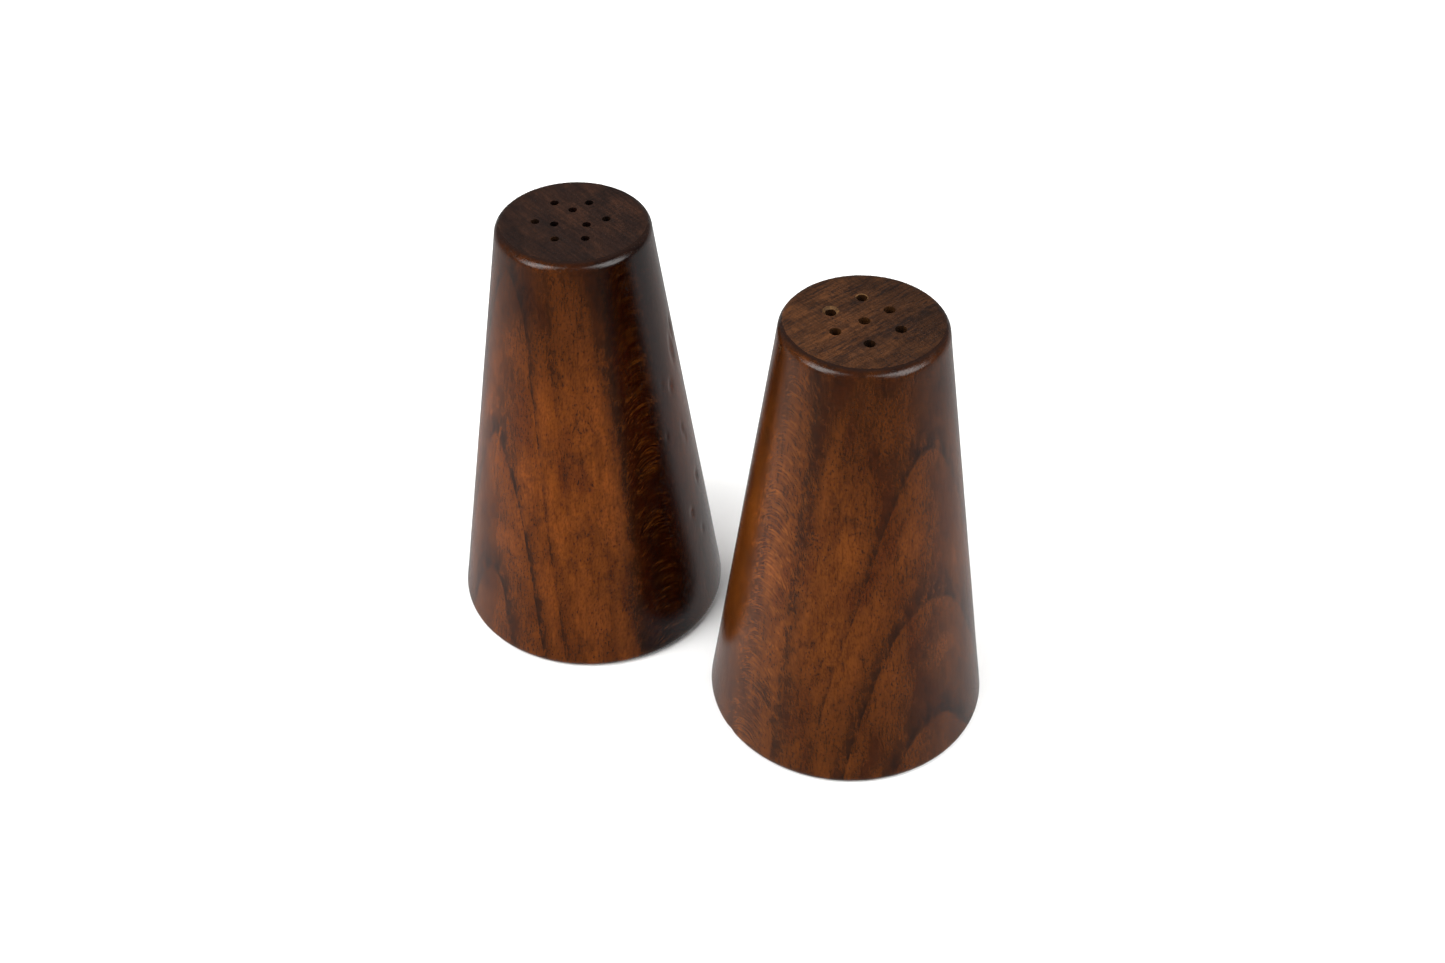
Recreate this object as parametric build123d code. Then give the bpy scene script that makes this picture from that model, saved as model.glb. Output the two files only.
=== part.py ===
# Salt and pepper shakers: two turned walnut cones, bored from below and drilled
# through the top, each with a tapered cork stopper in its base.
# Millimetres. The origin is on the table midway between the two shakers, the salt
# shaker stands towards -X and the pepper shaker towards +X, and +Z is up.

import os
from math import cos, radians, sin

from build123d import *

# ---- turned body: the same blank and the same tools for both shakers ----
body_height = 95.0
base_radius = 28.5
salt_top_radius = 15.1          # the two cones were turned by eye, so they differ a little
pepper_top_radius = 15.6
top_edge_round = 1.8            # rounded shoulder around the flat top
foot_edge_round = 1.8           # eased edge around the foot
gap_between = 6.3               # the two feet stand this far apart

# ---- chamber for the salt or the pepper ----
bore_radius = 11.0              # flat-bottomed bore, from the recess up to the top wall
top_wall = 7.0                  # wood left between the chamber and the flat top

# ---- cork stopper and the recess that keeps it off the table ----
recess_depth = 3.5              # counterbore in the foot
finger_gap = 3.2                # room around the cork's rim for a fingernail
stopper_sunk = 1.0              # how far the cork's outer face stays inside the foot
rim_overhang = 0.7              # the cork swells this much past the bore outside it
rim_round = 0.6                 # worn edges of the cork
plug_length = 12.0              # cork inside the bore
plug_taper = 0.8                # the plug's inner end is this much smaller in radius
cork_clearance = 0.05           # radial room between the plug and the bore's mouth

# ---- pouring holes, pricked and drilled by eye: (radius, angle) from the axis ----
salt_hole_diameter = 1.6
salt_holes = [
    (7.8, 151), (7.3, 98), (6.5, 41), (6.0, -33), (6.4, -89), (7.3, -152),
    (4.3, 124), (3.6, -141), (2.8, 15),
]
pepper_hole_diameter = 2.1
pepper_holes = [
    (7.6, 121), (6.1, 69), (6.8, 13), (6.3, -54), (6.0, -123), (6.9, 180),
    (0.5, 116),
]

centre_distance = 2 * base_radius + gap_between
stopper_rim_radius = bore_radius + rim_overhang
recess_radius = stopper_rim_radius + finger_gap
mouth_height = recess_depth
ceiling_height = body_height - top_wall


def upright(radius, bottom, top):
    """A plain cylinder on the Z axis between two heights."""
    cylinder = Cylinder(radius, top - bottom, align=(Align.CENTER, Align.CENTER, Align.MIN))
    return Pos(0, 0, bottom) * cylinder


def make_body(top_radius, hole_diameter, holes):
    """One shaker body: a rounded cone with its recess, chamber and pouring holes."""
    cone = Cone(
        base_radius, top_radius, body_height,
        align=(Align.CENTER, Align.CENTER, Align.MIN),
    )
    rims = cone.edges().filter_by(GeomType.CIRCLE).sort_by(Axis.Z)
    cone = fillet(rims[-1], top_edge_round)
    rims = cone.edges().filter_by(GeomType.CIRCLE).sort_by(Axis.Z)
    cone = fillet(rims[0], foot_edge_round)
    body = cone - upright(recess_radius, 0, mouth_height)
    body -= upright(bore_radius, mouth_height, ceiling_height)
    drills = [
        Pos(reach * cos(radians(turn)), reach * sin(radians(turn)), 0)
        * upright(hole_diameter / 2, ceiling_height, body_height)
        for reach, turn in holes
    ]
    return body - drills


def make_stopper():
    """One cork: a short rim in the recess and a tapered plug in the bore."""
    plug_radius = bore_radius - cork_clearance
    plug_top = mouth_height + plug_length
    outline = Polyline(
        (0, stopper_sunk),
        (stopper_rim_radius, stopper_sunk),
        (stopper_rim_radius, mouth_height),
        (plug_radius, mouth_height),
        (plug_radius - plug_taper, plug_top),
        (0, plug_top),
        close=True,
    )
    half_section = Plane.XZ * make_face(outline)
    cork = revolve(half_section, Axis.Z)
    rims = cork.edges().filter_by(GeomType.CIRCLE).sort_by(Axis.Z)
    return fillet([rims[0], rims[-1]], rim_round)


def make_shakers():
    """Every piece of the pair, in its place, by the name of its node."""
    salt_place = Pos(-centre_distance / 2, 0, 0)
    pepper_place = Pos(centre_distance / 2, 0, 0)
    return {
        "salt_body": salt_place * make_body(salt_top_radius, salt_hole_diameter, salt_holes),
        "salt_stopper": salt_place * make_stopper(),
        "pepper_body": pepper_place
        * make_body(pepper_top_radius, pepper_hole_diameter, pepper_holes),
        "pepper_stopper": pepper_place * make_stopper(),
    }


os.makedirs("parts", exist_ok=True)
for node, piece in make_shakers().items():
    export_step(piece, f"parts/{node}.step")
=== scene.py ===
import math
import random

import bmesh
import bpy
from mathutils import Matrix, Vector, noise


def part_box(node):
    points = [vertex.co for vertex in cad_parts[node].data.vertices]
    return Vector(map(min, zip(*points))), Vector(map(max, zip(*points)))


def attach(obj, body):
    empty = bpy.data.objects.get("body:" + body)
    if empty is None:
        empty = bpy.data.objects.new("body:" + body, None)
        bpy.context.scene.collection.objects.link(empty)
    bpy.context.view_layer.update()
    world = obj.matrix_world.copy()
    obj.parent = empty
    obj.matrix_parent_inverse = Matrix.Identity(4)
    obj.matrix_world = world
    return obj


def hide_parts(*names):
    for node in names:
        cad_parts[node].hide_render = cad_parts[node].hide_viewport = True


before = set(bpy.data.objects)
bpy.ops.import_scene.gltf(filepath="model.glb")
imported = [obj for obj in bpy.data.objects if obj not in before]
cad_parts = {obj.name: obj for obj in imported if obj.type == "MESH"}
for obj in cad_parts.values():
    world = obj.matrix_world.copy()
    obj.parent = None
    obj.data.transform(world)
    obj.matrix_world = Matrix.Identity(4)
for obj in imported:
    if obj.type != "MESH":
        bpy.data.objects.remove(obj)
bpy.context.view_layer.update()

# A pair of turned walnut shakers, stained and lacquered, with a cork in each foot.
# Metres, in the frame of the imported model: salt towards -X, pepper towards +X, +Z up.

MM = 0.001

# ---- the turned bodies, as the solids are turned ----
BASE_RADIUS = 28.5 * MM
TOP_EDGE_ROUND = 1.8 * MM
FOOT_EDGE_ROUND = 1.8 * MM
BORE_RADIUS = 11.0 * MM
TOP_WALL = 7.0 * MM
RECESS_RADIUS = 14.9 * MM
RECESS_DEPTH = 3.5 * MM
TURNING_STEPS = 288             # facets around the cone
EDGE_STEPS = 12                 # facet rows around a rounded edge
WALL_STEP = 0.7 * MM            # height of one facet row on the cone
TOP_STEP = 1.6 * MM             # and widths of the others, from the top round to the bore
FOOT_STEP = 2.0 * MM
RECESS_STEP = 1.2 * MM
BORE_STEP = 8.0 * MM
CEILING_STEP = 4.0 * MM
TOOL_WANDER = 0.05 * MM         # how far the turning chisel strayed into the cone
WANDER_AROUND = 60 * MM         # it strayed and came back over these distances
WANDER_UP = 9 * MM
WANDER_EASE = 6 * MM            # and ran true this near to either edge
CREASE = 35                     # degrees at which two faces meet sharply
CORK_CREASE = 60

# ---- the cuts ----
DRILL_STEPS = 32
DRILL_PAST = 1 * MM             # the drill runs this far past both faces of the top
PLAIN_LIP = 0.07                # bevel of a hole's lip in millimetres, unless it has its own
TEAR_SIZE = 0.5 * MM            # the drill tore the lips in bites of this size
TEAR_DEPTH = 0.04 * MM
CHIP_SINK = 0.15 * MM           # a chip's middle lies this far inside the cone
FOOT_CHIP_SINK = 0.25 * MM      # and this much further in on the rounded foot
CHIP_GRAIN = 0.6 * MM
CHIP_ROUGHNESS = 0.22           # in millimetres

# ---- the corks ----
RIM_RADIUS = 11.7 * MM
RIM_ROUND = 0.6 * MM
PLUG_RADIUS = 10.95 * MM
PLUG_TAPER = 0.8 * MM
CORK_STEPS = 160
CORK_STEP = 0.4 * MM
CORK_EDGE_STEPS = 5
PIT_COUNT = 70                  # lenticels that open at the surface
PIT_SIZES = (0.35, 1.0)         # in millimetres
PIT_DEPTHS = (0.15, 0.5)

# Each shaker's own facts, in millimetres and degrees.
# Holes are (radius, angle) from its axis, and bevelled gives the wider lips by hole.
# Bark is the heading from the heart of the tree to the bark, heart is how far off the
# heart lies, and lean is how far the grain runs off the axis for each of height.
# First_ring is how far one ring lies beyond the axis, ring_gap is the rings' width, and
# ring_start is where they begin to show and where they are plain.
# On the heart's side of the vein the wood is multiplied by a painted shade colour, for the salt's side
# that the pepper shades; the pepper's is white.
# Flecks is how strongly the rays shine. Worn is the radius of the bare top. Dark_top is the
# share of the colour left at the head of the side, and far_side_shade the share left at the far
# side of the top, where the darkening is painted shade. Tones run from pale to dark, and the
# last of a side's tones is its flecks.
# Dents are (angle, height, width, tallness, depth), and chips (angle, height, width).
WORN_DRIFT = 1.55               # the wear is this far off the axis
WORN_HEADING = 118              # in this direction
SHAKERS = {
    "salt": {
        "top_radius": 15.1 * MM,
        "hole_radius": 0.8 * MM,
        "holes": [
            (7.8, 151), (7.3, 98), (6.5, 41), (6.0, -33), (6.4, -89), (7.3, -152),
            (4.3, 124), (3.6, -141), (2.8, 15),
        ],
        "bevelled": {},
        "bark": -109,
        "lean": 0.085,
        "first_ring": 23.4,
        "ring_gap": 2.1,
        "ring_start": (19.0, 24.5),
        "heart": 95,
        # painted shade where the pepper shades this side
        "painted_side_shade": "5f3625",
        "flecks": 0.2,
        "worn": 14.5,
        "dark_top": 0.68,
        "far_side_shade": 0.95,
        "side_tones": ("70380f", "602f0a", "4d2308", "9c5a1e"),
        "top_tones": ("341d11", "29160d", "20100a"),
        "dents": [
            (8, 60.8, 1.3, 2.4, 0.30), (-1, 63.2, 0.7, 1.8, 0.14), (12, 48.8, 0.8, 2.6, 0.24),
            (-4, 51.0, 0.6, 1.4, 0.14), (14, 46.2, 0.7, 1.8, 0.20), (18, 67.5, 1.6, 5.0, 0.32),
            (25, 71.0, 1.2, 4.2, 0.28), (19, 34.2, 1.2, 2.4, 0.30), (6, 28.5, 1.1, 2.2, 0.26),
            (14, 21.4, 0.9, 1.8, 0.22), (-59, 81.3, 0.6, 1.9, 0.05), (118, 40.0, 1.2, 2.0, 0.12),
            (170, 66.0, 0.9, 2.2, 0.10), (-152, 30.0, 0.8, 1.7, 0.08),
        ],
        "chips": [(-104, 0.9, 1.0), (63, 1.0, 0.9), (152, 1.2, 0.8)],
    },
    "pepper": {
        "top_radius": 15.6 * MM,
        "hole_radius": 1.05 * MM,
        "holes": [
            (7.6, 121), (6.1, 69), (6.8, 13), (6.3, -54), (6.0, -123), (6.9, 180),
            (0.5, 116),
        ],
        "bevelled": {5: 0.5, 0: 0.14},
        "bark": -19,
        "lean": 0.0,
        "first_ring": 18.3,
        "ring_gap": 4.3,
        "ring_start": (13.5, 18.0),
        "heart": 62,
        "painted_side_shade": "ffffff",
        "flecks": 0.4,
        "worn": 14.95,
        "dark_top": 0.95,
        "far_side_shade": 0.55,
        "side_tones": ("5f300d", "51280a", "421d07", "9a5720"),
        "top_tones": ("553116", "4a2a12", "3f220d"),
        "dents": [
            (40, 58.0, 1.0, 2.0, 0.10), (72, 30.0, 1.1, 2.2, 0.12), (120, 72.0, 0.8, 1.8, 0.08),
            (-150, 44.0, 0.9, 2.4, 0.09), (-124, 34.7, 0.7, 2.0, 0.05), (10, 35.0, 0.6, 1.3, 0.06),
        ],
        "chips": [(-4, 1.0, 0.9), (-119, 1.1, 1.3), (100, 1.1, 0.8), (-134, 92.6, 0.7)],
    },
}

# ---- finding each shaker ----


def shaker_axis(name):
    """The foot of a shaker's axis, on the table."""
    low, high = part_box(name + "_body")
    return Vector(((low.x + high.x) / 2, (low.y + high.y) / 2, 0.0))


BODY_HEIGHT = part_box("salt_body")[1].z
CORK_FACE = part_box("salt_stopper")[0].z
CORK_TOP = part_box("salt_stopper")[1].z


# ---- outlines: (radius, height) pairs from the axis outwards ----


def arc(centre, radius, start, end, steps):
    """Points on an arc of an outline, with angles in degrees from the horizontal."""
    points = []
    for step in range(steps + 1):
        turn = math.radians(start + (end - start) * step / steps)
        points.append((centre[0] + radius * math.cos(turn), centre[1] + radius * math.sin(turn)))
    return points


def run(start, end, step):
    """Evenly spaced points after start, up to and with end."""
    length = math.dist(start, end)
    count = max(1, round(length / step))
    return [
        (start[0] + (end[0] - start[0]) * i / count, start[1] + (end[1] - start[1]) * i / count)
        for i in range(1, count + 1)
    ]


def cone_radius(top_radius, height):
    """Radius of the straight cone at a height."""
    return BASE_RADIUS + (top_radius - BASE_RADIUS) * height / BODY_HEIGHT


def body_outline(top_radius):
    """Half section of one body: over the top, down the cone, and up inside the foot."""
    slope = math.atan2(BASE_RADIUS - top_radius, BODY_HEIGHT)
    tilt = math.degrees(slope)
    shoulder_height = BODY_HEIGHT - TOP_EDGE_ROUND
    shoulder = (
        cone_radius(top_radius, shoulder_height) - TOP_EDGE_ROUND / math.cos(slope),
        shoulder_height,
    )
    toe = (
        cone_radius(top_radius, FOOT_EDGE_ROUND) - FOOT_EDGE_ROUND / math.cos(slope),
        FOOT_EDGE_ROUND,
    )
    outline = [(0.0, BODY_HEIGHT)]
    outline += run(outline[-1], (shoulder[0], BODY_HEIGHT), TOP_STEP)
    outline += arc(shoulder, TOP_EDGE_ROUND, 90, tilt, EDGE_STEPS)[1:]
    foot_edge = arc(toe, FOOT_EDGE_ROUND, tilt, -90, EDGE_STEPS)
    outline += run(outline[-1], foot_edge[0], WALL_STEP)
    outline += foot_edge[1:]
    outline += run(outline[-1], (RECESS_RADIUS, 0.0), FOOT_STEP)
    outline += run(outline[-1], (RECESS_RADIUS, RECESS_DEPTH), RECESS_STEP)
    outline += run(outline[-1], (BORE_RADIUS, RECESS_DEPTH), FOOT_STEP)
    outline += run(outline[-1], (BORE_RADIUS, BODY_HEIGHT - TOP_WALL), BORE_STEP)
    outline += run(outline[-1], (0.0, BODY_HEIGHT - TOP_WALL), CEILING_STEP)
    return outline


def cork_outline():
    """Half section of one cork: its face, its rim and its tapered plug."""
    plug_end = PLUG_RADIUS - PLUG_TAPER
    outline = [(0.0, CORK_FACE)]
    outline += run(outline[-1], (RIM_RADIUS - RIM_ROUND, CORK_FACE), CORK_STEP)
    rim = (RIM_RADIUS - RIM_ROUND, CORK_FACE + RIM_ROUND)
    outline += arc(rim, RIM_ROUND, -90, 0, CORK_EDGE_STEPS)[1:]
    outline += run(outline[-1], (RIM_RADIUS, RECESS_DEPTH), CORK_STEP)
    outline += run(outline[-1], (PLUG_RADIUS, RECESS_DEPTH), CORK_STEP)
    outline += run(outline[-1], (plug_end, CORK_TOP - RIM_ROUND), CORK_STEP)
    nose = (plug_end - RIM_ROUND, CORK_TOP - RIM_ROUND)
    outline += arc(nose, RIM_ROUND, 0, 90, CORK_EDGE_STEPS)[1:]
    outline += run(outline[-1], (0.0, CORK_TOP), CORK_STEP)
    return outline


# ---- making the pieces ----


def turned(outline, axis, steps):
    """A closed solid turned from an outline whose ends lie on the axis."""
    bm = bmesh.new()
    verts = [bm.verts.new((axis.x + reach, axis.y, height)) for reach, height in outline]
    edges = [bm.edges.new(pair) for pair in zip(verts, verts[1:])]
    bmesh.ops.spin(
        bm, geom=verts + edges, cent=axis, axis=(0, 0, 1), angle=math.tau, steps=steps,
        use_merge=True, use_duplicate=False,
    )
    bmesh.ops.remove_doubles(bm, verts=bm.verts[:], dist=0.002 * MM)
    bmesh.ops.recalc_face_normals(bm, faces=bm.faces[:])
    return bm


def smoothed(bm, crease):
    """Shades every face smooth, except across the edges where two meet sharply."""
    for face in bm.faces:
        face.smooth = True
    for edge in bm.edges:
        if len(edge.link_faces) == 2:
            edge.smooth = edge.calc_face_angle() < math.radians(crease)


def finished(name, bm, materials, crease=CREASE):
    """Turns a bmesh into an object, smooth except where its faces meet sharply."""
    smoothed(bm, crease)
    mesh = bpy.data.meshes.new(name)
    bm.to_mesh(mesh)
    bm.free()
    for material in materials:
        mesh.materials.append(material)
    piece = bpy.data.objects.new(name, mesh)
    bpy.context.scene.collection.objects.link(piece)
    return piece


def joined(cutter, part):
    """Adds one part to a cutter made of several."""
    patch = bpy.data.meshes.new("part")
    part.to_mesh(patch)
    part.free()
    cutter.from_mesh(patch)
    bpy.data.meshes.remove(patch)


def wander(bm, axis):
    """Lets the turned cone stray inwards by a hair, as a hand-held chisel leaves it."""
    for vert in bm.verts:
        reach = Vector((vert.co.x - axis.x, vert.co.y - axis.y, 0.0))
        if reach.length < RECESS_RADIUS or vert.co.z > BODY_HEIGHT - TOP_EDGE_ROUND:
            continue
        if vert.co.z < FOOT_EDGE_ROUND:
            continue
        ease = min(1.0, (BODY_HEIGHT - TOP_EDGE_ROUND - vert.co.z) / WANDER_EASE)
        ease *= min(1.0, (vert.co.z - FOOT_EDGE_ROUND) / WANDER_EASE)
        spot = Vector((
            vert.co.x / WANDER_AROUND, vert.co.y / WANDER_AROUND, vert.co.z / WANDER_UP,
        ))
        stray = (noise.noise(spot) + 1) / 2
        vert.co -= reach.normalized() * stray * ease * TOOL_WANDER


def dent(bm, axis, angle, height, width, tallness, depth):
    """Presses one shallow dent into the cone: sizes in millimetres."""
    heading = math.radians(angle)
    outward = Vector((math.cos(heading), math.sin(heading), 0.0))
    across = Vector((-outward.y, outward.x, 0.0))
    for vert in bm.verts:
        local = vert.co - axis
        if local.dot(outward) < RECESS_RADIUS * 0.9:
            continue
        aside = local.dot(across) / (width * MM)
        along = (local.z - height * MM) / (tallness * MM)
        far = aside * aside + along * along
        if far < 1:
            vert.co -= outward * depth * MM * (1 - far) ** 2


def drill(name, axis, shaker, wall, lip):
    """All the holes of one top as one cutter, with lips that the drill tore a little."""
    rng = random.Random(name)
    cutter = bmesh.new()
    top = BODY_HEIGHT
    radius = shaker["hole_radius"]
    for number, (reach, angle) in enumerate(shaker["holes"]):
        turn = math.radians(angle)
        spot = axis + Vector((math.cos(turn), math.sin(turn), 0.0)) * reach * MM
        bevel = shaker["bevelled"].get(number, PLAIN_LIP) * MM
        outline = [
            (0.0, top - TOP_WALL - DRILL_PAST),
            (radius, top - TOP_WALL - DRILL_PAST),
            (radius, top - TOP_WALL / 2),
            (radius, top - bevel * 0.9),
            (radius + bevel, top + 0.01 * MM),
            (radius + bevel, top + DRILL_PAST),
            (0.0, top + DRILL_PAST),
        ]
        bit = turned(outline, spot, DRILL_STEPS)
        phase = rng.uniform(0, 50)
        for vert in bit.verts:
            arm = Vector((vert.co.x - spot.x, vert.co.y - spot.y, 0.0))
            if arm.length > radius * 0.5:
                tear = noise.noise(Vector((arm.x, arm.y, 0)) / TEAR_SIZE + Vector((0, 0, phase)))
                vert.co += arm.normalized() * tear * (TEAR_DEPTH + bevel * 0.2)
        for face in bit.faces:
            torn = face.calc_center_median().z > top - bevel and abs(face.normal.z) > 0.2
            face.material_index = 1 if torn and bevel > 0.1 * MM else 0
        joined(cutter, bit)
    return finished(name + "_drill", cutter, [wall, lip])


def chip_away(name, axis, shaker, bare):
    """Small flakes knocked off the edges, as one cutter."""
    cutter = bmesh.new()
    for number, (angle, height, width) in enumerate(shaker["chips"]):
        turn = math.radians(angle)
        reach = cone_radius(shaker["top_radius"], height * MM) - CHIP_SINK
        if height * MM < FOOT_EDGE_ROUND:
            reach -= FOOT_CHIP_SINK
        spot = axis + Vector((math.cos(turn) * reach, math.sin(turn) * reach, height * MM))
        place = Matrix.Translation(spot) @ Matrix.Rotation(turn, 4, "Z")
        place = place @ Matrix.Diagonal((0.45 * width, width, 0.6 * width, 1)).to_4x4()
        flake = bmesh.new()
        bmesh.ops.create_icosphere(flake, subdivisions=3, radius=MM, matrix=place)
        for vert in flake.verts:
            rough = noise.noise(vert.co / CHIP_GRAIN + Vector((0, 0, number * 7.0)))
            vert.co += vert.normal * rough * CHIP_ROUGHNESS * MM
        joined(cutter, flake)
    return finished(name + "_chips", cutter, [bare])


def cut(piece, cutter):
    """Takes the cutter out of the piece, and keeps the cutter's own finish on the cut."""
    boolean = piece.modifiers.new("cut", "BOOLEAN")
    boolean.operation = "DIFFERENCE"
    boolean.solver = "EXACT"
    boolean.material_mode = "TRANSFER"
    boolean.object = cutter
    shaped = piece.evaluated_get(bpy.context.evaluated_depsgraph_get())
    mesh = bpy.data.meshes.new_from_object(shaped)
    piece.modifiers.clear()
    plain = piece.data
    piece.data = mesh
    bpy.data.meshes.remove(plain)
    bpy.data.objects.remove(cutter)


def soften(piece):
    """Marks the sharp edges again after cutting, and shades the rest smooth."""
    bm = bmesh.new()
    bm.from_mesh(piece.data)
    smoothed(bm, CREASE)
    bm.to_mesh(piece.data)
    bm.free()


def make_body(name, shaker):
    """One wooden body: turned, dented, drilled and chipped."""
    axis = shaker_axis(name)
    finishes = wood_finishes(name, shaker, axis)
    lacquered, bored, foot, bare = range(len(finishes))
    bm = turned(body_outline(shaker["top_radius"]), axis, TURNING_STEPS)
    wander(bm, axis)
    for row in shaker["dents"]:
        dent(bm, axis, *row)
    for face in bm.faces:
        middle = face.calc_center_median()
        reach = math.hypot(middle.x - axis.x, middle.y - axis.y)
        if reach < RECESS_RADIUS + 0.1 * MM and middle.z < BODY_HEIGHT - TOP_WALL / 2:
            face.material_index = bored
        elif middle.z < 0.06 * MM:
            face.material_index = foot
        else:
            face.material_index = lacquered
    piece = finished(name + "_turned_body", bm, finishes)
    cut(piece, drill(name, axis, shaker, finishes[bored], finishes[bare]))
    cut(piece, chip_away(name, axis, shaker, finishes[bare]))
    soften(piece)
    piece.data.name = piece.name
    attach(piece, name + "_shaker")
    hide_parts(name + "_body")


def make_cork(name):
    """One cork: turned, then roughened and pitted inwards with its lenticels."""
    axis = shaker_axis(name)
    rng = random.Random(name + " cork")
    bm = turned(cork_outline(), axis, CORK_STEPS)
    bm.normal_update()
    pits = []
    for _ in range(PIT_COUNT):
        turn = rng.uniform(0, math.tau)
        reach = RIM_RADIUS * math.sqrt(rng.random()) if rng.random() < 0.5 else PLUG_RADIUS
        height = CORK_FACE if reach < PLUG_RADIUS else rng.uniform(CORK_FACE, CORK_TOP)
        spot = Vector((axis.x + reach * math.cos(turn), axis.y + reach * math.sin(turn), height))
        pits.append((spot, rng.uniform(*PIT_SIZES) * MM, rng.uniform(*PIT_DEPTHS) * MM))
    moves = []
    for vert in bm.verts:
        sink = (noise.noise(vert.co / (1.5 * MM)) + 1) * 0.03 * MM
        sink += (noise.noise(vert.co / (0.5 * MM)) + 1) * 0.015 * MM
        for spot, size, depth in pits:
            far = (vert.co - spot).length / size
            if far < 1:
                sink = max(sink, depth * (1 - far * far))
        moves.append((vert, vert.normal * sink))
    for vert, move in moves:
        vert.co -= move
    piece = finished(name + "_cork", bm, [cork_finish(name, axis)], CORK_CREASE)
    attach(piece, name + "_cork")
    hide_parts(name + "_stopper")


# ---- materials ----

LACQUER_ROUGHNESS = 0.115
WORN_ROUGHNESS = 0.45
PORE_DEPTH = 0.05 * MM
CELL_DEPTH = 0.1 * MM
VEIN_LEAN = 0.036               # the vein's drift across the block, for each of height
VEIN_SPAN = 20.0                # millimetres that its ramp runs over
# Painted shade on the salt's side that faces the pepper:
PAINTED_SHADE_START = (-13.0, -2.0)  # deepens here, in millimetres towards the bark
PAINTED_SHADE_END = (6.2, 10.0)     # and fades out here
HEAD = (0.6, 0.88)              # shares of the height over which the head darkens
SHOULDER = (0.982, 0.984)       # and above which the top is worn
WORN_EDGE = (0.15, 0.35)        # millimetres over which the wear ends
DARK_BORDER_EDGE = (0.7, 1.5)       # and over which the dark border around it does
FIBRE_SHARE = 0.6               # how strongly each part of the figure is drawn
VEIN_SHARE = 0.8
BLOT_SHARE = 0.7
PORE_SHARE = 0.65
SCRATCH_SHARE = 0.7
DASH_SHARE = 0.8
SPECKLE_SHARE = 0.7
DARKEN = {"data_type": "RGBA", "blend_type": "MULTIPLY"}
COVER = {"data_type": "RGBA", "blend_type": "MIX"}


def colour(code):
    """An sRGB hex colour as the linear RGBA that Blender works in."""
    channels = [int(code[i:i + 2], 16) / 255 for i in (0, 2, 4)]
    linear = [c / 12.92 if c <= 0.04045 else ((c + 0.055) / 1.055) ** 2.4 for c in channels]
    return (*linear, 1.0)


def new_material(name):
    """An empty material with its output node."""
    material = bpy.data.materials.new(name)
    material.use_nodes = True
    material.node_tree.nodes.clear()
    return material, material.node_tree


def add(tree, kind, settings=None, links=None):
    """Adds a node, sets its properties and inputs, and links its inputs to sockets."""
    node = tree.nodes.new("ShaderNode" + kind)
    for key, value in (settings or {}).items():
        if key == "stops":
            ramp = node.color_ramp
            while len(ramp.elements) < len(value):
                ramp.elements.new(0.5)
            for element, (position, shade) in zip(ramp.elements, value):
                element.position = position
                element.color = colour(shade) if isinstance(shade, str) else (shade,) * 3 + (1.0,)
        elif isinstance(key, int) or key in node.inputs:
            node.inputs[key].default_value = value
        else:
            setattr(node, key, value)
    for key, source in (links or {}).items():
        if isinstance(source, bpy.types.NodeSocket):
            tree.links.new(source, node.inputs[key])
        else:
            node.inputs[key].default_value = source
    return node


def grain_place(tree, shaker, axis):
    """Millimetres in the block of wood: X to the bark, Y along the rings, Z up."""
    turn = -math.radians(shaker["bark"])
    centre = Matrix.Rotation(turn, 3, "Z") @ (axis / MM)
    spot = add(tree, "TexCoord")
    return add(
        tree, "Mapping",
        {"Location": -centre, "Rotation": (0, 0, turn), "Scale": (1 / MM,) * 3},
        {"Vector": spot.outputs["Object"]},
    ).outputs["Vector"]


def patches(tree, grain, size, detail=2.0, roughness=0.5, shift=0.0):
    """Noise in clumps of this size, in millimetres towards the bark, along a ring and up."""
    squeezed = add(
        tree, "VectorMath",
        {"operation": "MULTIPLY_ADD", 1: [1 / s for s in size], 2: (shift, shift, shift)},
        {0: grain},
    )
    return add(
        tree, "TexNoise", {"Scale": 1.0, "Detail": detail, "Roughness": roughness},
        {"Vector": squeezed.outputs[0]},
    )


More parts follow.
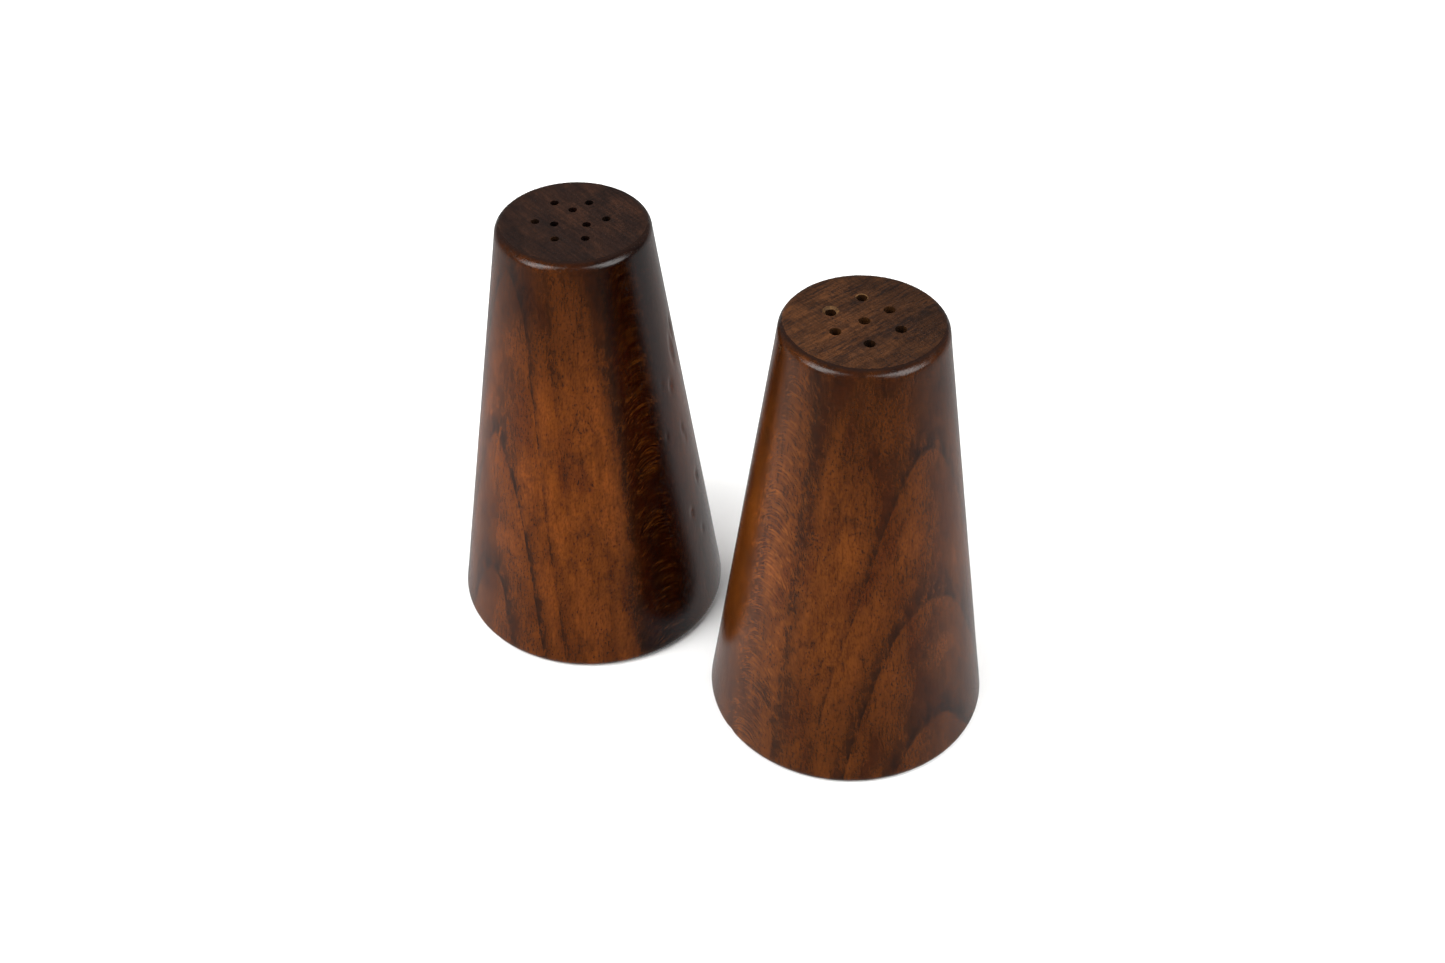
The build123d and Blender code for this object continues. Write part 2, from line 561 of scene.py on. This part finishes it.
def wood_figure(tree, shaker, axis):
    """The figure of one block of stained walnut, as sockets of 0 to 1."""
    straight = grain_place(tree, shaker, axis)
    drift = patches(tree, straight, (26, 26, 60), detail=1.5)
    centred = add(
        tree, "VectorMath", {"operation": "SUBTRACT", 1: (0.5,) * 3}, {0: drift.outputs["Color"]},
    )
    grain = add(
        tree, "VectorMath", {"operation": "MULTIPLY_ADD", 1: (2.4, 2.4, 0.0)},
        {0: centred.outputs[0], 2: straight},
    ).outputs[0]

    # Growth rings: the distance from the heart of the tree, in ring widths. Each ring
    # darkens slowly towards the bark and ends sharply.
    parts = add(tree, "SeparateXYZ", None, {0: grain})
    leaned = add(
        tree, "Math", {"operation": "MULTIPLY_ADD", 1: shaker["lean"]},
        {0: parts.outputs["Z"], 2: parts.outputs["X"]},
    )
    out = add(tree, "Math", {"operation": "ADD", 1: shaker["heart"]}, {0: leaned.outputs[0]})
    flat = add(tree, "CombineXYZ", None, {"X": out.outputs[0], "Y": parts.outputs["Y"]})
    heart = add(tree, "VectorMath", {"operation": "LENGTH"}, {0: flat.outputs[0]})
    rings = add(
        tree, "Math",
        {
            "operation": "MULTIPLY_ADD", 1: 1 / shaker["ring_gap"],
            2: -(shaker["heart"] + shaker["first_ring"]) / shaker["ring_gap"],
        },
        {0: heart.outputs["Value"]},
    )
    age = add(tree, "Math", {"operation": "FRACT"}, {0: rings.outputs[0]})
    latewood = add(
        tree, "ValToRGB",
        {"stops": [(0.0, 0.9), (0.03, 0.0), (0.5, 0.05), (0.74, 0.24), (0.9, 0.75), (0.98, 1.0)]},
        {0: age.outputs[0]},
    )
    clumps = patches(tree, grain, (1.6, 1.6, 4), detail=5.0, roughness=0.68, shift=7.0)
    broken = add(
        tree, "MapRange", {"From Min": 0.38, "From Max": 0.55, "To Min": 0.12, "To Max": 1.0},
        {"Value": clumps.outputs["Fac"]},
    ).outputs[0]
    outer = add(
        tree, "MapRange",
        {
            "From Min": shaker["ring_start"][0], "From Max": shaker["ring_start"][1],
            "To Min": 0.14, "To Max": 1.0,
        },
        {"Value": leaned.outputs[0]},
    )
    ring = add(tree, "Math", {"operation": "MULTIPLY"}, {0: latewood.outputs[0], 1: broken})
    ring = add(tree, "Math", {"operation": "MULTIPLY"}, {0: ring.outputs[0], 1: outer.outputs[0]})

    # Across the end grain run thin dark dashes, 0.3 mm wide and about 3 mm long.
    dash_noise = patches(tree, grain, (0.36, 3.2, 3), detail=1.0, roughness=0.5, shift=17.0)
    dash_place = patches(tree, grain, (5, 8, 8), detail=1.0, roughness=0.5, shift=27.0)
    dash_share = add(
        tree, "Math", {"operation": "MULTIPLY_ADD", 1: 0.4, 2: -0.2}, {0: dash_place.outputs["Fac"]},
    )
    dashed = add(
        tree, "Math", {"operation": "ADD"}, {0: dash_noise.outputs["Fac"], 1: dash_share.outputs[0]},
    )
    line = add(
        tree, "MapRange", {"From Min": 0.6, "From Max": 0.68}, {"Value": dashed.outputs[0]},
    )

    # A vein of dye soaked into the board, strongest on its inner side 7 mm from the middle,
    # and inside it a band of painted shade that fades into it, dark red on the salt's side that the
    # pepper shades.
    tilted = add(
        tree, "Math", {"operation": "MULTIPLY_ADD", 1: VEIN_LEAN},
        {0: parts.outputs["Z"], 2: parts.outputs["X"]},
    ).outputs[0]
    spanned = add(tree, "Math", {"operation": "MULTIPLY", 1: 1 / VEIN_SPAN}, {0: tilted})
    band = add(
        tree, "ValToRGB", {"stops": [(0.33, 0.0), (0.375, 1.0), (0.42, 0.85), (0.56, 0.0)]},
        {0: spanned.outputs[0]},
    )
    vein = add(tree, "Math", {"operation": "MULTIPLY"}, {0: band.outputs[0], 1: broken})
    outer_side = add(
        tree, "MapRange",
        {
            "From Min": PAINTED_SHADE_END[0], "From Max": PAINTED_SHADE_END[1],
            "To Min": 1.0, "To Max": 0.0, "interpolation_type": "SMOOTHSTEP",
        },
        {"Value": tilted},
    )
    inner_side = add(
        tree, "MapRange",
        {
            "From Min": PAINTED_SHADE_START[0], "From Max": PAINTED_SHADE_START[1],
            "To Min": 0.15, "interpolation_type": "SMOOTHSTEP",
        },
        {"Value": tilted},
    )
    # Painted shade where the pepper shades the salt's side.
    painted_side_shade = add(
        tree, "Math", {"operation": "MULTIPLY"}, {0: outer_side.outputs[0], 1: inner_side.outputs[0]},
    )

    # Pores: short dark dashes along the grain, 0.3 mm wide and about 1 mm long, which
    # gather in some places and leave others clean.
    gather = patches(tree, grain, (5, 5, 9), detail=2.0, roughness=0.5, shift=21.0)
    pore_noise = patches(tree, grain, (0.32, 0.32, 0.9), detail=2.0, roughness=0.5, shift=3.0)
    crowd = add(
        tree, "Math", {"operation": "MULTIPLY_ADD", 1: 0.35, 2: -0.175}, {0: gather.outputs["Fac"]},
    )
    crowded = add(
        tree, "Math", {"operation": "ADD"}, {0: pore_noise.outputs["Fac"], 1: crowd.outputs[0]},
    )
    pores = add(
        tree, "MapRange", {"From Min": 0.62, "From Max": 0.7, "interpolation_type": "SMOOTHSTEP"},
        {"Value": crowded.outputs[0]},
    )
    fibres = patches(tree, grain, (0.5, 0.5, 15), detail=3.0, roughness=0.6, shift=11.0)

    # Rays: sheets under 0.2 mm thick that stand from heart to bark, and shine where the
    # surface runs along them, on the two quartered faces.
    ray_noise = patches(tree, straight, (8, 0.09, 2.2), detail=1.0, roughness=0.5, shift=5.0)
    middle = add(tree, "Math", {"operation": "SUBTRACT", 1: 0.5}, {0: ray_noise.outputs["Fac"]})
    edge = add(tree, "Math", {"operation": "ABSOLUTE"}, {0: middle.outputs[0]})
    sheets = add(
        tree, "MapRange", {"From Min": 0.01, "From Max": 0.09, "To Min": 1.0, "To Max": 0.0},
        {"Value": edge.outputs[0]},
    )
    ray_ends = patches(tree, straight, (5, 0.6, 1.6), detail=2.0, roughness=0.6, shift=25.0)
    whole = add(
        tree, "MapRange", {"From Min": 0.38, "From Max": 0.66, "To Min": 0.15, "To Max": 1.0},
        {"Value": ray_ends.outputs["Fac"]},
    )
    rays = add(tree, "Math", {"operation": "MULTIPLY"}, {0: sheets.outputs[0], 1: whole.outputs[0]})
    squares = add(tree, "VectorMath", {"operation": "MULTIPLY"}, {0: straight, 1: straight})
    sides = add(tree, "SeparateXYZ", None, {0: squares.outputs[0]})
    around = add(tree, "Math", {"operation": "ADD"}, {0: sides.outputs["X"], 1: sides.outputs["Y"]})
    quartered = add(
        tree, "Math", {"operation": "DIVIDE"}, {0: sides.outputs["Y"], 1: around.outputs[0]},
    )
    facing = add(
        tree, "ValToRGB", {"stops": [(0.3, 0.0), (0.8, 0.3), (0.93, 0.6), (0.99, 1.0)]},
        {0: quartered.outputs[0]},
    )
    flecks = add(tree, "Math", {"operation": "MULTIPLY"}, {0: rays.outputs[0], 1: facing.outputs[0]})

    # Stain: fine stipple, soft clouds and a few dark blots. The side is darker towards both
    # ends and darkest at its head, and painted shade darkens the top towards its far side.
    clouds = patches(tree, grain, (4, 8, 20), detail=4.0, roughness=0.55, shift=2.0)
    stipple = patches(tree, grain, (0.17, 0.17, 0.36), detail=2.0, roughness=0.75, shift=9.0)
    strokes = patches(tree, straight, (4, 0.24, 0.8), detail=2.0, roughness=0.7, shift=35.0)
    stroke_share = add(
        tree, "MapRange", {"To Min": 0.6, "To Max": 0.12}, {"Value": facing.outputs[0]},
    )
    blot_noise = patches(tree, grain, (4.5, 4.5, 6), detail=5.0, roughness=0.7, shift=15.0)
    blots = add(
        tree, "MapRange", {"From Min": 0.55, "From Max": 0.72}, {"Value": blot_noise.outputs["Fac"]},
    )
    scaled = add(tree, "Math", {"operation": "MULTIPLY", 1: MM / BODY_HEIGHT}, {0: parts.outputs["Z"]})
    height = add(
        tree, "ValToRGB",
        {
            "stops": [
                (0.0, 0.7), (0.2, 0.74), (0.36, 0.85), (0.5, 1.0), (0.66, 0.9), (0.8, 0.68),
                (0.93, 0.52), (1.0, 0.45),
            ],
        },
        {0: scaled.outputs[0]},
    )
    head = add(
        tree, "MapRange",
        {"From Min": HEAD[0], "From Max": HEAD[1], "To Min": 1.0, "To Max": shaker["dark_top"]},
        {"Value": scaled.outputs[0]},
    )
    # This darkening towards both ends of the side, most at its head, is set by height alone.
    stained = add(
        tree, "Math", {"operation": "MULTIPLY"}, {0: height.outputs[0], 1: head.outputs[0]},
    )
    # Painted shade: the top darkens towards its far side.
    across = add(
        tree, "MapRange",
        {"From Min": -7.0, "From Max": 9.0, "To Min": 1.0, "To Max": shaker["far_side_shade"]},
        {"Value": parts.outputs["Y"]},
    )

    # Lacquer worn off the top, a little to one side of the axis, with a ragged edge.
    turn = math.radians(WORN_HEADING - shaker["bark"])
    centre = (WORN_DRIFT * math.cos(turn), WORN_DRIFT * math.sin(turn), 0.0)
    level = add(tree, "VectorMath", {"operation": "MULTIPLY", 1: (1, 1, 0)}, {0: straight})
    away = add(tree, "VectorMath", {"operation": "DISTANCE", 1: centre}, {0: level.outputs[0]})
    ragged = patches(tree, straight, (0.9, 0.9, 0.9), detail=3.0, roughness=0.6, shift=41.0)
    margin = add(
        tree, "Math", {"operation": "MULTIPLY_ADD", 1: 0.5},
        {0: ragged.outputs["Fac"], 2: away.outputs["Value"]},
    )
    bare = add(
        tree, "MapRange",
        {
            "From Min": shaker["worn"] + WORN_EDGE[0], "From Max": shaker["worn"] + WORN_EDGE[1],
            "To Min": 1.0, "To Max": 0.0,
        },
        {"Value": margin.outputs[0]},
    )
    high = add(
        tree, "MapRange", {"From Min": SHOULDER[0], "From Max": SHOULDER[1]},
        {"Value": scaled.outputs[0]},
    )
    worn = add(tree, "Math", {"operation": "MULTIPLY"}, {0: bare.outputs[0], 1: high.outputs[0]})
    # A darker border around the wear, running over the shoulder.
    border = add(
        tree, "MapRange",
        {
            "From Min": shaker["worn"] + DARK_BORDER_EDGE[0], "From Max": shaker["worn"] + DARK_BORDER_EDGE[1],
            "To Min": 0.9, "To Max": 0.0,
        },
        {"Value": margin.outputs[0]},
    )
    shoulder = add(tree, "Math", {"operation": "MULTIPLY"}, {0: border.outputs[0], 1: high.outputs[0]})
    return {
        "ring": ring.outputs[0], "vein": vein.outputs[0], "painted_side_shade": painted_side_shade.outputs[0],
        "pores": pores.outputs[0], "fibres": fibres.outputs["Fac"], "flecks": flecks.outputs[0],
        "clouds": clouds.outputs["Fac"], "stipple": stipple.outputs["Fac"],
        "strokes": strokes.outputs["Fac"], "stroke_share": stroke_share.outputs[0],
        "blots": blots.outputs[0], "line": line.outputs[0],
        "height": stained.outputs[0], "shoulder": shoulder.outputs[0], "worn": worn.outputs[0],
        "across": across.outputs[0], "grain": grain,
    }


def wood_colour(tree, figure, shaker, tones):
    """The wood's colour. Tones are its pale, middle, dark, ring, pore and fleck colours."""
    base = add(
        tree, "ValToRGB",
        {"stops": [(0.36, tones["dark"]), (0.5, tones["middle"]), (0.62, tones["pale"])]},
        {0: figure["clouds"]},
    ).outputs[0]
    fibre = add(
        tree, "ValToRGB", {"stops": [(0.32, 0.35), (0.48, 0.95), (0.7, 1.0)]}, {0: figure["fibres"]},
    ).outputs[0]
    base = add(tree, "Mix", DARKEN, {0: FIBRE_SHARE, 6: base, 7: fibre}).outputs[2]
    grit = add(
        tree, "ValToRGB", {"stops": [(0.36, 0.25), (0.5, 0.85), (0.6, 1.0)]}, {0: figure["strokes"]},
    ).outputs[0]
    base = add(tree, "Mix", DARKEN, {0: figure["stroke_share"], 6: base, 7: grit}).outputs[2]
    layers = (
        ("vein", VEIN_SHARE, COVER, tones["ring"]),
        ("blots", BLOT_SHARE, COVER, tones["ring"]),
        # painted shade on the salt's side that faces the pepper
        ("painted_side_shade", None, DARKEN, shaker["painted_side_shade"]),
        ("flecks", shaker["flecks"], COVER, tones["fleck"]),
        ("ring", None, COVER, tones["ring"]),
        ("pores", PORE_SHARE, COVER, tones["pore"]),
    )
    for part, share, blend, tone in layers:
        amount = figure[part]
        if share is not None:
            amount = add(tree, "Math", {"operation": "MULTIPLY"}, {0: amount, 1: share}).outputs[0]
        base = add(tree, "Mix", blend, {0: amount, 6: base, 7: colour(tone)}).outputs[2]
    return base


def sanded(tree, figure, base, ring_tone):
    """End grain sanded flat: fine straight marks along the rings, and dark dashes."""
    sander = patches(
        tree, figure["grain"], (0.44, 7, 4), detail=1.0, roughness=0.6, shift=31.0,
    )
    marks = sander.outputs["Fac"]
    scratch = add(tree, "ValToRGB", {"stops": [(0.4, 0.45), (0.58, 1.0)]}, {0: marks}).outputs[0]
    base = add(tree, "Mix", DARKEN, {0: SCRATCH_SHARE, 6: base, 7: scratch}).outputs[2]
    dashes = add(tree, "Math", {"operation": "MULTIPLY"}, {0: figure["line"], 1: DASH_SHARE})
    base = add(tree, "Mix", COVER, {0: dashes.outputs[0], 6: base, 7: colour(ring_tone)}).outputs[2]
    return base, marks


def surfaced(tree, figure, base, roughness, height, relief, shine):
    """Ends a wood material: its colour, its gloss and the relief of its pores."""
    grooves = add(
        tree, "Math", {"operation": "MULTIPLY_ADD", 1: -0.6}, {0: figure["pores"], 2: height},
    )
    bump = add(
        tree, "Bump", {"Strength": relief, "Distance": PORE_DEPTH}, {"Height": grooves.outputs[0]},
    )
    patchy = add(
        tree, "MapRange", {"From Min": 0.3, "From Max": 0.7, "To Min": 0.8, "To Max": 1.3},
        {"Value": figure["fibres"]},
    )
    gloss = add(tree, "Math", {"operation": "MULTIPLY"}, {0: patchy.outputs[0], 1: roughness})
    surface = add(
        tree, "BsdfPrincipled", {"IOR": 1.5, "Specular IOR Level": 0.5 * shine},
        {"Base Color": base, "Roughness": gloss.outputs[0], "Normal": bump.outputs[0]},
    )
    add(tree, "OutputMaterial", None, {"Surface": surface.outputs[0]})


def worn_lacquer(name, shaker, axis, side_tones, top_tones):
    """Stained walnut under thin lacquer, glossy, and matt where the top is worn bare."""
    material, tree = new_material(name)
    figure = wood_figure(tree, shaker, axis)
    side = wood_colour(tree, figure, shaker, side_tones)
    side = add(tree, "Mix", DARKEN, {0: 1.0, 6: side, 7: figure["height"]}).outputs[2]
    border = colour(top_tones["ring"])
    side = add(tree, "Mix", COVER, {0: figure["shoulder"], 6: side, 7: border}).outputs[2]
    # The top takes none of the painted side shade.
    top = wood_colour(tree, figure, {**shaker, "painted_side_shade": "ffffff"}, top_tones)
    top, marks = sanded(tree, figure, top, top_tones["ring"])
    # Painted shade darkens the top towards its far side.
    top = add(tree, "Mix", DARKEN, {0: 1.0, 6: top, 7: figure["across"]}).outputs[2]
    base = add(tree, "Mix", COVER, {0: figure["worn"], 6: side, 7: top}).outputs[2]
    rough = add(
        tree, "MapRange", {"To Min": LACQUER_ROUGHNESS, "To Max": WORN_ROUGHNESS},
        {"Value": figure["worn"]},
    )
    sanding = add(tree, "Math", {"operation": "MULTIPLY"}, {0: marks, 1: figure["worn"]})
    height = add(
        tree, "Math", {"operation": "ADD"}, {0: figure["stipple"], 1: sanding.outputs[0]},
    )
    surfaced(tree, figure, base, rough.outputs[0], height.outputs[0], relief=0.5, shine=1.0)
    return material


def bare_wood(name, shaker, axis, tones, roughness, relief, shine):
    """Walnut with no lacquer left on it, dull and a little furry."""
    material, tree = new_material(name)
    figure = wood_figure(tree, shaker, axis)
    base, marks = sanded(tree, figure, wood_colour(tree, figure, shaker, tones), tones["ring"])
    height = add(tree, "Math", {"operation": "ADD"}, {0: figure["stipple"], 1: marks})
    surfaced(tree, figure, base, roughness, height.outputs[0], relief, shine)
    return material


def wood_finishes(name, shaker, axis):
    """The finishes of one body: its outside, bored inside, foot and bare chips."""
    pale, middle, dark, fleck = shaker["side_tones"]
    side = {
        "pale": pale, "middle": middle, "dark": dark, "fleck": fleck,
        "ring": "200e06", "pore": "1c0d06",
    }
    pale, middle, dark = shaker["top_tones"]
    top = {
        "pale": pale, "middle": middle, "dark": dark, "fleck": middle,
        "ring": "1b0e09", "pore": "180c08",
    }
    # The bored inside and the holes' walls: bare walnut's own colour darkened further with painted
    # shade.
    bored = {
        "pale": "3a2008", "middle": "2c1705", "dark": "1f0f04", "fleck": "3a2008",
        "ring": "160a03", "pore": "120803",
    }
    foot = {
        "pale": "5c3516", "middle": "4a290f", "dark": "371d0a", "fleck": "5c3516",
        "ring": "231205", "pore": "1d0f05",
    }
    chip = {
        "pale": "745330", "middle": "644627", "dark": "4c331a", "fleck": "745330",
        "ring": "3c2612", "pore": "2c1c0d",
    }
    bare = (
        ("_bored_walnut_painted_shade", bored, {"roughness": 0.8, "relief": 0.8, "shine": 0.25}),
        ("_foot_walnut", foot, {"roughness": 0.55, "relief": 0.6, "shine": 0.7}),
        ("_bare_walnut", chip, {"roughness": 0.8, "relief": 0.6, "shine": 0.5}),
    )
    finishes = [worn_lacquer(name + "_lacquered_walnut", shaker, axis, side, top)]
    finishes += [bare_wood(name + kind, shaker, axis, tones, **feel) for kind, tones, feel in bare]
    return finishes


def cork_finish(name, axis):
    """Natural cork: punched from bark, pale tan with brown lenticels and fine cells."""
    material, tree = new_material(name + "_natural_cork")
    spot = add(tree, "TexCoord")
    local = add(
        tree, "Mapping", {"Location": -axis / MM, "Scale": (1 / MM,) * 3},
        {"Vector": spot.outputs["Object"]},
    ).outputs["Vector"]
    clouds = patches(tree, local, (3, 2, 3), detail=4.0, roughness=0.6)
    tan = add(
        tree, "ValToRGB", {"stops": [(0.3, "8a5a34"), (0.5, "b5834f"), (0.7, "cba06b")]},
        {0: clouds.outputs["Fac"]},
    ).outputs[0]
    streaks = patches(tree, local, (2.2, 0.35, 0.6), detail=2.0, roughness=0.6, shift=4.0)
    lenticels = add(
        tree, "MapRange", {"From Min": 0.6, "From Max": 0.7, "interpolation_type": "SMOOTHSTEP"},
        {"Value": streaks.outputs["Fac"]},
    )
    cells = add(tree, "TexVoronoi", {"Scale": 2.2}, {"Vector": local})
    speckled = add(
        tree, "ValToRGB", {"stops": [(0.0, 0.78), (0.5, 1.0)]}, {0: cells.outputs["Distance"]},
    ).outputs[0]
    base = add(tree, "Mix", DARKEN, {0: SPECKLE_SHARE, 6: tan, 7: speckled}).outputs[2]
    brown = colour("5a3419")
    base = add(tree, "Mix", COVER, {0: lenticels.outputs[0], 6: base, 7: brown}).outputs[2]
    height = add(
        tree, "Math", {"operation": "SUBTRACT"}, {0: cells.outputs["Distance"], 1: lenticels.outputs[0]},
    )
    bump = add(
        tree, "Bump", {"Strength": 0.6, "Distance": CELL_DEPTH}, {"Height": height.outputs[0]},
    )
    rough = add(
        tree, "MapRange", {"To Min": 0.75, "To Max": 0.95}, {"Value": clouds.outputs["Fac"]},
    )
    surface = add(
        tree, "BsdfPrincipled", {"IOR": 1.45},
        {"Base Color": base, "Roughness": rough.outputs[0], "Normal": bump.outputs[0]},
    )
    add(tree, "OutputMaterial", None, {"Surface": surface.outputs[0]})
    return material


# ---- the room ----

CAMERA_HEADING = 30.715         # the camera stands this far round from the front
CAMERA_PITCH = 41.571           # and looks down by this much
CAMERA_ROLL = -0.246
CAMERA_PLACE = Vector((157.76, -262.73, 314.20)) * MM
FOCAL_LENGTH = 50.0
SENSOR_WIDTH = 36.0
LIGHT_DISTANCE = 0.75
FLOOR_RADIUS = 3.0
FLOOR_STEPS = 96
ROOM_DIM = 0.1                  # how light the room is behind the camera,
ROOM_PALE = 0.4                 # at its far end
ROOM_UPPER = (0.12, 0.12, 0.12, 1.0)

# Each lamp: its bearing from the line of sight and its elevation in degrees, its width and
# height in metres, its power in watts, and whether the lacquer mirrors it.
LAMPS = {
    "left_fill": (-123, 40, 0.70, 0.80, 8.0, False),
    "right_fill": (123, 40, 0.70, 0.80, 4.4, False),
    "left_strip": (-116, 44, 0.30, 0.62, 2.7, True),
    "right_strip": (119, 44, 0.42, 0.62, 3.2, True),
    "rear_left_fill": (-42, 14, 0.60, 0.30, 2.6, False),
    "rear_right_fill": (42, 14, 0.60, 0.30, 2.6, False),
}


def place_camera():
    """A standard lens that looks down on the pair from the front right."""
    data = bpy.data.cameras.new("camera")
    data.lens = FOCAL_LENGTH
    data.sensor_width = SENSOR_WIDTH
    data.clip_start = 0.01
    camera = bpy.data.objects.new("camera", data)
    bpy.context.scene.collection.objects.link(camera)
    look = Matrix.Rotation(math.radians(CAMERA_HEADING), 4, "Z")
    look = look @ Matrix.Rotation(math.radians(90 - CAMERA_PITCH), 4, "X")
    look = look @ Matrix.Rotation(math.radians(CAMERA_ROLL), 4, "Z")
    camera.matrix_world = Matrix.Translation(CAMERA_PLACE) @ look
    bpy.context.scene.camera = camera


def softbox(name, bearing, elevation, width, height, power, mirrored):
    """A soft light, at a bearing from the camera's line of sight, that faces the pair."""
    data = bpy.data.lights.new(name, "AREA")
    data.shape = "RECTANGLE"
    data.size = width
    data.size_y = height
    data.energy = power
    light = bpy.data.objects.new(name, data)
    bpy.context.scene.collection.objects.link(light)
    heading = math.radians(CAMERA_HEADING + 90 - bearing)
    rise = math.radians(elevation)
    away = Vector((
        math.cos(heading) * math.cos(rise), math.sin(heading) * math.cos(rise), math.sin(rise),
    ))
    light.location = Vector((0, 0, BODY_HEIGHT / 2)) + away * LIGHT_DISTANCE
    light.rotation_euler = away.to_track_quat("Z", "Y").to_euler()
    light.visible_glossy = mirrored


def pale_paper(name, glow_from, glow_to):
    """Matt white paper, lit from behind beyond glow_from so that it stays pale far off."""
    material, tree = new_material(name)
    spot = add(tree, "TexCoord")
    mottle = add(tree, "TexNoise", {"Scale": 60.0, "Detail": 3.0}, {"Vector": spot.outputs["Object"]})
    white = add(
        tree, "ValToRGB", {"stops": [(0.3, "f4f4f3"), (0.7, "f8f8f7")]}, {0: mottle.outputs["Fac"]},
    )
    reach = add(tree, "VectorMath", {"operation": "LENGTH"}, {0: spot.outputs["Object"]})
    glow = add(
        tree, "MapRange",
        {"From Min": glow_from, "From Max": glow_to, "To Max": 0.9, "interpolation_type": "SMOOTHSTEP"},
        {"Value": reach.outputs["Value"]},
    )
    surface = add(
        tree, "BsdfPrincipled",
        {"Roughness": 0.9, "Specular IOR Level": 0.0, "Emission Color": (0.98, 0.98, 0.98, 1.0)},
        {"Base Color": white.outputs[0], "Emission Strength": glow.outputs[0]},
    )
    add(tree, "OutputMaterial", None, {"Surface": surface.outputs[0]})
    return material


def lay_floor():
    """A plain pale sheet that the pair stands on, and a pale wall all round, far off."""
    bm = bmesh.new()
    bmesh.ops.create_circle(bm, cap_ends=True, segments=FLOOR_STEPS, radius=FLOOR_RADIUS)
    floor = finished("floor", bm, [pale_paper("pale_paper", glow_from=0.35, glow_to=1.3)])
    floor.visible_glossy = False
    bm = bmesh.new()
    bmesh.ops.create_cone(
        bm, segments=FLOOR_STEPS, radius1=FLOOR_RADIUS, radius2=FLOOR_RADIUS,
        depth=2 * FLOOR_RADIUS,
    )
    wall = finished("wall", bm, [pale_paper("lit_wall", glow_from=0.0, glow_to=0.1)])
    wall.visible_glossy = False
    wall.visible_diffuse = False
    wall.visible_shadow = False


def light_room():
    """Soft light from both sides and low from behind, in a dim room with a pale far end."""
    for name, lamp in LAMPS.items():
        softbox(name, *lamp)
    world = bpy.data.worlds.new("room")
    world.use_nodes = True
    tree = world.node_tree
    tree.nodes.clear()
    way = add(tree, "TexCoord")
    heading = math.radians(CAMERA_HEADING)
    ahead = add(
        tree, "VectorMath",
        {"operation": "DOT_PRODUCT", 1: (-math.sin(heading), math.cos(heading), 0)},
        {0: way.outputs["Generated"]},
    )
    below = add(
        tree, "MapRange",
        {
            "From Min": -0.85, "From Max": 0.1, "To Min": ROOM_DIM, "To Max": ROOM_PALE,
            "interpolation_type": "SMOOTHSTEP",
        },
        {"Value": ahead.outputs["Value"]},
    )
    parts = add(tree, "SeparateXYZ", None, {0: way.outputs["Generated"]})
    upper = add(
        tree, "MapRange", {"From Min": -0.02, "From Max": 0.02}, {"Value": parts.outputs["Z"]},
    )
    shade = add(tree, "Mix", COVER, {0: upper.outputs[0], 6: below.outputs[0], 7: ROOM_UPPER})
    glow = add(tree, "Background", {"Strength": 1.0}, {"Color": shade.outputs[2]})
    add(tree, "OutputWorld", None, {"Surface": glow.outputs[0]})
    bpy.context.scene.world = world


place_camera()
light_room()
lay_floor()
for name, shaker in SHAKERS.items():
    make_body(name, shaker)
    make_cork(name)
bpy.context.scene.view_settings.view_transform = "Standard"
